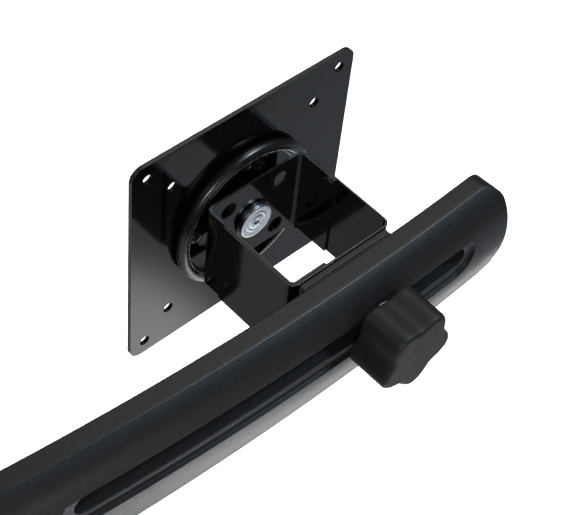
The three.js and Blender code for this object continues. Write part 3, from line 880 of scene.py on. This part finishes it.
def make_block():
    low, high = box_mm("slide_block")
    front = BACK_Y + 1.5
    block = box_piece("block", (low.x, front, low.z), (high.x, high.y, high.z))
    boolean(block, "DIFFERENCE", box_piece(
        "neck", (HEAD_X - 4.4, front - 3, SLOT_Z - 4.4), (HEAD_X + 4.4, high.y + 3, SLOT_Z + 4.4)))
    bevel(block, 0.45)
    key_half, key_round = 11.0, 4.95
    outline = []
    for centre, first in ((key_half - key_round, -90), (-(key_half - key_round), 90)):
        for k in range(17):
            a = math.radians(first + 180 * k / 16)
            outline.append((centre + key_round * math.cos(a), key_round * math.sin(a)))
    key_rings = [[(HEAD_X + u, y, SLOT_Z + z) for u, z in outline] for y in (BACK_Y - 7.0, front + 0.4)]
    key = loft("key", key_rings)
    bolt_room = box_piece("bolt room", (HEAD_X - 5, BACK_Y - 9, SLOT_Z - 9), (HEAD_X + 5, front, SLOT_Z + 9))
    boolean(key, "DIFFERENCE", bolt_room)
    boolean(block, "UNION", key)
    smooth(block, 30.0)
    finish_piece(block, "block", "carriage", "satin_black", POWDER, "slide_block")
    low, high = box_mm("slide_pad")
    pad = bent_box("pad", low.x - HEAD_X, high.x - HEAD_X, -1.3, -0.1, low.z - SLOT_Z, high.z - SLOT_Z, 2.0)
    boolean(pad, "DIFFERENCE", bent_box("window", -11.3, 11.3, -5.0, 5.0, -5.25, 5.25))
    smooth(bevel(pad, 0.15), 30.0)
    finish_piece(pad, "friction_pad", "carriage", "nylon", BLACK_NYLON, "slide_pad")


def knob_ring(place, height, reach, count=150):
    """One ring of the knob's lobed outline; reach gives its radius from the full one."""
    ring = []
    for k in range(count):
        a = 2 * math.pi * k / count
        r = reach(KNOB["radius"] + KNOB["lobe"] * math.cos(KNOB["lobes"] * (a - KNOB["turn"])))
        ring.append(place(r * math.cos(a), r * math.sin(a), height))
    return ring


def hexagon(place, radius, height):
    corners = [math.pi / 3 * k for k in range(6)]
    return [place(radius * math.cos(a), radius * math.sin(a), height) for a in corners]


def make_knob():
    low, high = box_mm("star_knob")
    back, face = BACK_Y - high.y, BACK_Y - low.y
    shoulder, edge = back + KNOB["neck_height"], KNOB["edge"]
    place = along_minus_y(HEAD_X, BACK_Y, SLOT_Z)
    quarter = [math.radians(15 * k) for k in range(7)]
    lip = KNOB["back_edge"]
    rows = [(shoulder + lip * (1 - math.cos(a)), lip * (1 - math.sin(a))) for a in quarter]
    rows += [(height, 0.0) for height in spread(shoulder + lip, face - edge, 2.5)[1:]]
    rows += [(face - edge * (1 - math.sin(a)), edge * (1 - math.cos(a))) for a in quarter[1:]]
    rings = [knob_ring(place, height, lambda r, inset=inset: r - inset) for height, inset in rows]
    for share in (0.75, 0.45, 0.2):
        rings.append(knob_ring(place, face - 0.12 * (1 - share), lambda r, share=share: (r - edge) * share))
    knob = loft("knob", rings)
    neck_profile = rounded([(0, back), (12.0, back), (12.0, shoulder + 1.0), (0, shoulder + 1.0)], 0.3)
    neck = lathe("neck", neck_profile, place, 72)
    boolean(knob, "UNION", neck)
    insert_low, insert_high = box_mm("knob_insert")
    flange = (insert_high.z - insert_low.z) / 2 + FIT_GAP
    flange_end = BACK_Y - insert_high.y + INSERT["flange_thickness"] + 0.1
    depth = BACK_Y - insert_low.y + FIT_GAP
    room_profile = [(0, back - 1), (flange, back - 1), (flange, flange_end), (0, flange_end)]
    flange_room = lathe("room", room_profile, place, 60)
    socket = loft("socket", [hexagon(place, INSERT["hex"] + FIT_GAP, h) for h in (back - 1.0, depth)])
    bolt_end = BACK_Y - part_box("clamp_bolt")[0][1] / MM + 1.5
    bolt_room = lathe("room", [(0, back), (4.3, back), (4.3, bolt_end), (0, bolt_end)], place, 40)
    boolean(knob, "DIFFERENCE", flange_room, socket, bolt_room)
    smooth(knob, 40.0)
    return finish_piece(knob, "knob_grip", "knob", "knob_rubber", RUBBER, "star_knob")


def make_insert():
    low, high = box_mm("knob_insert")
    near, far = BACK_Y - high.y, BACK_Y - low.y
    place = along_minus_y(HEAD_X, BACK_Y, SLOT_Z)
    radius = (high.z - low.z) / 2
    step = near + INSERT["flange_thickness"]
    flange = lathe("flange", rounded([(0, near), (radius, near), (radius, step), (0, step)], 0.25), place, 72)
    body = loft("hex", [hexagon(place, INSERT["hex"] - inset, h)
                        for inset, h in ((0.0, near + 0.5), (0.0, far - 0.5), (0.4, far))])
    boolean(flange, "UNION", body)
    bore = lathe("bore", [(0, near - 1), (4.1, near - 1), (4.1, far + 1), (0, far + 1)], place, 48)
    boolean(flange, "DIFFERENCE", bore)
    smooth(flange, 35.0)
    return finish_piece(flange, "insert", "knob", "brass", BRASS, "knob_insert")


def make_clamp_pieces():
    place = along_minus_y(HEAD_X, BACK_Y, SLOT_Z)
    low, high = box_mm("clamp_washer")
    near, far = BACK_Y - high.y, BACK_Y - low.y
    make_round("washer_under_knob", "clamp_washer", "clamp", "zinc", ZINC,
               [(4.3, near), (9.4, near), (9.4, far), (4.3, far)], place, 0.25)
    low, high = box_mm("clamp_bolt")
    end, head = BACK_Y - low.y, BACK_Y - high.y
    seat = head + 3.4
    profile = [(0, head)] + [
        (7.3 * math.sin(math.radians(a)), seat - 0.5 - 2.9 * math.cos(math.radians(a)))
        for a in range(10, 91, 8)
    ] + [(7.3, seat), (3.95, seat)]
    profile += thread(3.95, seat + 6.0, end - 1.2, 1.25) + [(3.95, end - 1.1), (3.0, end), (0, end)]
    bolt = lathe("bolt", profile, place, 64)
    neck = box_piece(
        "neck",
        (HEAD_X - 4.1, BACK_Y - seat - 3.2, SLOT_Z - 4.1),
        (HEAD_X + 4.1, BACK_Y - seat + 0.5, SLOT_Z + 4.1),
    )
    boolean(bolt, "UNION", bevel(neck, 0.25))
    smooth(bolt, 35.0)
    finish_piece(bolt, "bolt", "carriage", "zinc", ZINC, "clamp_bolt")


make_block()
make_knob()
make_insert()
make_clamp_pieces()


# ---------------------------------------------------------------- hub, bushes, collar and screws

def make_lug():
    """The hub's curved lug, with its outer corners rounded."""
    corner = LUG["corner"]
    stations = [(u, 0.0) for u in spread(-HEAD_X, LUG["end"] - corner, 4.0)]
    stations += [
        (LUG["end"] - corner * (1 - math.sin(a)), corner * (1 - math.cos(a)))
        for a in [math.radians(10 * k) for k in range(1, 10)]
    ]
    rings = []
    for u, drop in stations:
        low, high = LUG["low"] + drop, LUG["high"] - drop
        rings.append([on_wing(u, d, z) for d, z in (
            (-LUG["back"], low), (-LUG["back"], high), (-LUG["front"], high), (-LUG["front"], low))])
    return bevel(loft("lug", rings), 0.9, 4, 50.0)


def make_hub():
    low, high = box_mm("pole_hub")
    outer, axis = -low.x, upright(0, 0, 0)
    hub = lathe("hub", rounded([(0, low.z), (outer, low.z), (outer, high.z), (0, high.z)], 1.2), axis, 128)
    bore_profile = [(0, low.z - 2), (HUB_BORE, low.z - 2), (HUB_BORE, high.z + 2), (0, high.z + 2)]
    bore = lathe("bore", bore_profile, axis, 128)
    boolean(hub, "UNION", make_lug())
    boolean(hub, "DIFFERENCE", bore, *[foot_hole(z, -LUG["back"] - 3, 3) for z in FOOT_SCREW["z"]])
    smooth(hub, 34.0)
    return finish_piece(hub, "hub_casting", "wing", "satin_black", POWDER, "pole_hub")


def make_collar():
    low, high = box_mm("support_collar")
    outer, axis = high.y, upright(0, 0, 0)
    collar_profile = rounded([(0, low.z), (outer, low.z), (outer, high.z), (0, high.z)], 0.9)
    collar = lathe("collar", collar_profile, axis, 128)
    ears = box_piece("ears", (-COLLAR["ear"], low.y, low.z), (COLLAR["ear"], -COLLAR["bore"] - 2, high.z))
    boolean(collar, "UNION", bevel(ears, 1.2, 4))
    bore_profile = [(0, -2), (COLLAR["bore"], -2), (COLLAR["bore"], high.z + 2), (0, high.z + 2)]
    bore = lathe("bore", bore_profile, axis, 128)
    half = COLLAR["slit"] / 2
    slit = box_piece("slit", (-half, low.y - 2, low.z - 2), (half, 0, high.z + 2))
    hole = lathe("hole", [(0, -20), (2.8, -20), (2.8, 20), (0, 20)], along_x(*COLLAR["screw"]), 40)
    boolean(collar, "DIFFERENCE", bore, slit, hole)
    smooth(collar, 34.0)
    return finish_piece(collar, "collar", "collar", "satin_black", POWDER, "support_collar")


def cap_screw(name, node, body, place, size, length):
    """A socket cap screw; heights run from under the head, along place."""
    head, tall, shank, socket, pitch = size
    profile = rounded([(0, -length), (shank - 0.7, -length), (shank, -length + 0.8)], 0.1)
    profile += thread(shank, -length + 0.9, -0.4 * length, pitch)
    profile += rounded([(shank, -0.4 * length), (shank, 0), (head, 0), (head, tall), (0, tall)], 0.45)
    screw = lathe(name, profile, place, 64)
    depth = tall * 0.42
    cone_profile = [(0, depth - 0.6), (socket * 0.8, depth + 0.1), (socket * 0.8, tall), (0, tall)]
    cone = lathe("cone", cone_profile, place, 40)
    drive = loft("drive", [hexagon(place, socket, h) for h in (depth, tall + 1)])
    boolean(screw, "DIFFERENCE", drive, cone)
    smooth(screw, 34.0)
    return finish_piece(screw, name, body, "dark_steel", STEEL, node)


def make_collar_fasteners():
    x, y, z = COLLAR["screw"]
    ear = COLLAR["ear"] + 0.1
    cap_screw("collar_cap_screw", "collar_screw", "collar", along_x(x + ear, y, z), COLLAR_SCREW, 24.0)
    low, high = box_mm("collar_nut")
    nut = bevel(box_piece("nut", low, high), 0.45)
    hole = lathe("hole", [(0, -20), (2.6, -20), (2.6, 0), (0, 0)], along_x(x, y, z), 40)
    boolean(nut, "DIFFERENCE", hole)
    smooth(nut, 30.0)
    finish_piece(nut, "square_nut", "collar", "zinc", ZINC, "collar_nut")


def make_foot_screws():
    for k, z in enumerate(FOOT_SCREW["z"]):
        place = lambda x, y, h, z=z: on_wing(FOOT_SCREW["u"] + x, -LUG["back"] - 0.1 - h, z + y)
        cap_screw(f"foot_cap_screw_{k + 1}", f"foot_screw_{k + 1}", "wing", place, FOOT_SCREW_SIZE, 18.0)


def make_bearings():
    axis = upright(0, 0, 0)
    low, high = box_mm("thrust_washer")
    make_round("slip_washer", "thrust_washer", "collar", "white_nylon", WHITE_NYLON,
               [(17.7, low.z), (high.x, low.z), (high.x, high.z), (17.7, high.z)], axis, 0.3)
    for node, name, side in (("lower_pole_bush", "lower_bush", 1), ("upper_pole_bush", "upper_bush", -1)):
        low, high = box_mm(node)
        foot, end = (low.z, high.z) if side > 0 else (high.z, low.z)
        step = foot + side * BUSH["flange"]
        make_round(name, node, "wing", "nylon", BLACK_NYLON, [
            (BUSH["bore"], foot), (high.x, foot), (high.x, step), (BUSH["outer"], step),
            (BUSH["outer"], end), (BUSH["bore"], end),
        ], axis, 0.3)


make_hub()
make_collar()
make_collar_fasteners()
make_foot_screws()
make_bearings()


# ---------------------------------------------------------------- floor, light and camera

def aimed(thing, place, target, roll=0.0):
    way = Vector(target) - Vector(place)
    turn = way.to_track_quat("-Z", "Y").to_matrix().to_4x4() @ Matrix.Rotation(math.radians(roll), 4, "Z")
    thing.matrix_world = Matrix.Translation(place) @ turn
    return thing


def softbox(name, place, target, width, height, watts, colour, spread_deg=180.0):
    light = bpy.data.lights.new(name, "AREA")
    light.shape = "RECTANGLE"
    light.size, light.size_y = width, height
    light.energy = watts
    light.color = colour
    light.spread = math.radians(spread_deg)
    lamp = bpy.data.objects.new(name, light)
    bpy.context.scene.collection.objects.link(lamp)
    return aimed(lamp, place, target)


def make_floor():
    level = cad_bounds[0][2] / MM - FLOOR_DROP
    size = 6000.0
    corners = [(-size, -size, level), (size, -size, level), (size, size, level), (-size, size, level)]
    floor = mesh_object("floor", corners, [(0, 1, 2, 3)])
    look = Look("pale floor", (0.86, 0.86, 0.86), 0.9)
    look.vary_roughness(6.0, 0.03)
    look.set("Specular IOR Level", 0.2)
    floor.data.materials.append(look.material)


def make_world():
    world = bpy.data.worlds.new("studio")
    world.use_nodes = True
    sky = world.node_tree.nodes["Background"]
    sky.inputs["Color"].default_value = (0.80, 0.82, 0.85, 1.0)
    sky.inputs["Strength"].default_value = 0.05
    bpy.context.scene.world = world


def pool(name, x, y, height, radius, watts, blend):
    """A round pool of light on the floor, from a spot straight above it."""
    floor_z = cad_bounds[0][2] - FLOOR_DROP * MM
    light = bpy.data.lights.new(name, "SPOT")
    light.shadow_soft_size = 0.02
    light.spot_size = 2 * math.atan(radius / (height - floor_z))
    light.spot_blend = blend
    light.energy = watts
    lamp = bpy.data.objects.new(name, light)
    bpy.context.scene.collection.objects.link(lamp)
    return aimed(lamp, (x, y, height), (x, y + 1e-4, floor_z))


def make_lights():
    centre = (0.22, 0.0, 0.05)
    softbox("overhead", (1.05, 0.25, 1.45), centre, 1.7, 0.8, 5.0, (1.0, 0.95, 0.88))
    softbox("window", (1.0, -0.55, 1.35), centre, 0.3, 0.2, 8.0, (0.62, 0.8, 1.0))
    softbox("side fill", (-0.75, -0.8, 0.95), centre, 0.8, 0.6, 2.6, (1.0, 0.98, 0.95))
    softbox("key", (-0.7, -0.85, 1.0), centre, 0.13, 0.13, 2.0, (1.0, 0.99, 0.97))
    softbox("rear fill", (-0.5, 1.3, 0.7), centre, 0.8, 0.8, 4.0, (0.95, 0.98, 1.0))
    softbox("front fill", (0.1, -1.6, 0.12), centre, 0.8, 0.5, 2.0, (1.0, 0.98, 0.95))
    pool("background pool", 0.565, 0.325, 1.6, 0.415, 330.0, 0.1)
    pool("near pool", 0.30, -0.18, 1.2, 0.16, 205.0, 0.55)


def make_camera():
    camera = bpy.data.cameras.new("camera")
    camera.sensor_width = 36.0
    camera.lens = 98.35
    camera.clip_start = 0.01
    eye = bpy.data.objects.new("camera", camera)
    bpy.context.scene.collection.objects.link(eye)
    place = (HEAD_X - 306.1, BACK_Y - 240.2, SLOT_Z + 475.2)
    target = (HEAD_X - 37.65, BACK_Y, SLOT_Z + 48.55)
    aimed(eye, mm(*place), mm(*target), 7.2)
    bpy.context.scene.camera = eye


make_floor()
make_world()
make_lights()
make_camera()
bpy.context.scene.view_settings.view_transform = "Standard"

bpy.context.view_layer.update()
